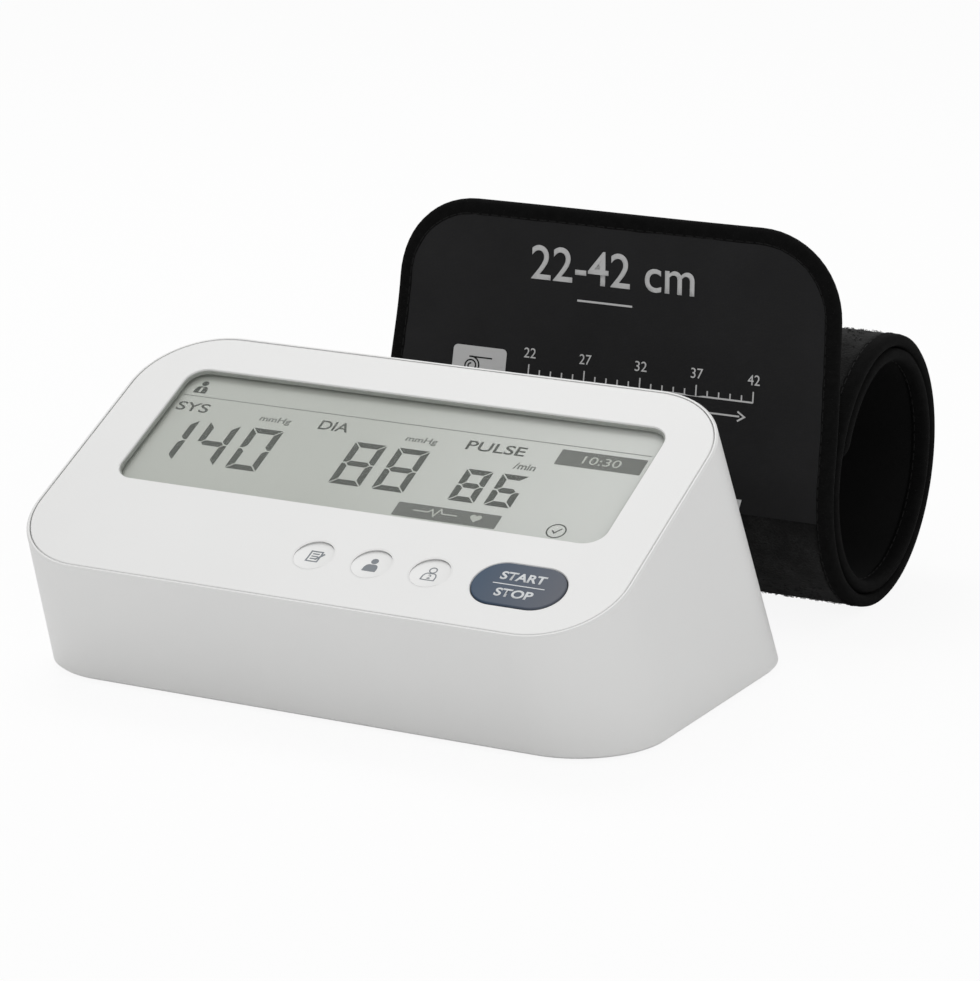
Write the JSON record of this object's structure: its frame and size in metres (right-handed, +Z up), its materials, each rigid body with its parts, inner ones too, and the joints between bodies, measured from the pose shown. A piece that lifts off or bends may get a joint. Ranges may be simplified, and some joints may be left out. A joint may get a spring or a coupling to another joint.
{
  "type": "digital blood pressure monitor",
  "caption": "Tabletop digital blood pressure monitor with a tilted display face, push buttons and a rolled arm cuff whose flap stands up behind it.",
  "frame": {"origin": "on the table, at the centre of the monitor's footprint", "axes": "+Z up, -Y towards the person who reads the display, +X to the right along the button row"},
  "size_m": [0.1947, 0.2285, 0.1179],
  "materials": {
    "white_plastic": "fine satin moulding",
    "clear_window": "clear acrylic",
    "lcd_glass": "grey-green display",
    "slate_plastic": "slate blue moulding",
    "frame_plastic": "natural moulding",
    "black_plastic": "black moulding",
    "jack_plastic": "grey moulding",
    "rubber": "matt rubber",
    "air_tube": "soft tube",
    "board_green": "circuit board",
    "screw_steel": "plated steel",
    "can_steel": "drawn can",
    "cell_jacket": "plain jacket",
    "cuff_cloth": "loop pile",
    "cuff_nylon": "smooth nylon",
    "cuff_tape": "woven tape",
    "bladder_film": "soft film",
    "curler_sheet": "springy sheet"
  },
  "bodies": {
    "monitor": {"upper_case": "white_plastic", "face_panel": "white_plastic", "base_cover": "white_plastic", "display_window": "clear_window", "lcd_panel": "lcd_glass", "lcd_frame": "frame_plastic", "air_manifold": "frame_plastic", "pump_housing": "frame_plastic", "pump_cap": "frame_plastic", "tact_switches": "frame_plastic", "board_parts": "black_plastic", "buzzer": "black_plastic", "pressure_sensor": "black_plastic", "dc_jack": "black_plastic", "air_jack": "jack_plastic", "lcd_connectors": "rubber", "rubber_feet": "rubber", "pump_sleeve": "rubber", "pump_diaphragm": "rubber", "pump_tube": "air_tube", "jack_tube": "air_tube", "valve_tube": "air_tube", "sensor_tube": "air_tube", "main_board": "board_green", "board_screws": "screw_steel", "case_screws": "screw_steel", "battery_contacts": "screw_steel", "battery_springs": "screw_steel", "pump_motor": "can_steel", "release_valve": "can_steel", "aa_cells": "cell_jacket"},
    "memory_key": {"memory_button": "white_plastic", "memory_plunger": "black_plastic"},
    "user_key": {"user_button": "white_plastic", "user_plunger": "black_plastic"},
    "guest_key": {"guest_button": "white_plastic", "guest_plunger": "black_plastic"},
    "start_stop_key": {"start_stop_button": "slate_plastic", "start_stop_plunger": "black_plastic"},
    "door": {"battery_door": "white_plastic"},
    "pump_rotor": {"pump_drive": "screw_steel"},
    "valve_core": {"valve_plunger": "screw_steel"},
    "cuff": {"cuff_cover": "cuff_cloth", "cuff_binding": "cuff_tape", "cuff_face_panel": "cuff_nylon", "cuff_loop_cloth": "cuff_cloth", "cuff_hook_patch": "cuff_cloth", "cuff_bladder": "bladder_film", "cuff_curler": "curler_sheet", "cuff_air_port": "jack_plastic"}
  },
  "joints": [
    {"name": "memory_press", "type": "slide", "parent": "monitor", "child": "memory_key", "axis": [0, 0.4289, -0.9033], "range_m": [0, 0.0007], "stiffness_N_per_m": 600},
    {"name": "user_press", "type": "slide", "parent": "monitor", "child": "user_key", "axis": [0, 0.4289, -0.9033], "range_m": [0, 0.0007], "stiffness_N_per_m": 600},
    {"name": "guest_press", "type": "slide", "parent": "monitor", "child": "guest_key", "axis": [0, 0.4289, -0.9033], "range_m": [0, 0.0007], "stiffness_N_per_m": 600},
    {"name": "start_stop_press", "type": "slide", "parent": "monitor", "child": "start_stop_key", "axis": [0, 0.4289, -0.9033], "range_m": [0, 0.0007], "stiffness_N_per_m": 600},
    {"name": "battery_door_swing", "type": "hinge", "parent": "monitor", "child": "door", "pos_m": [0, 0.00025, 0.0017], "axis": [1, 0, 0], "range_deg": [0, 75]},
    {"name": "pump_spin", "type": "hinge", "parent": "monitor", "child": "pump_rotor", "pos_m": [0.04785, -0.0203, 0.0184], "axis": [0, 1, 0], "continuous": true},
    {"name": "valve_slide", "type": "slide", "parent": "monitor", "child": "valve_core", "axis": [0, -1, 0], "range_m": [0, 0.0008], "stiffness_N_per_m": 300},
    {"name": "cuff_lift", "type": "slide", "parent": "monitor", "child": "cuff", "axis": [0, 0, 1], "range_m": [0, 0.15]}
  ]
}
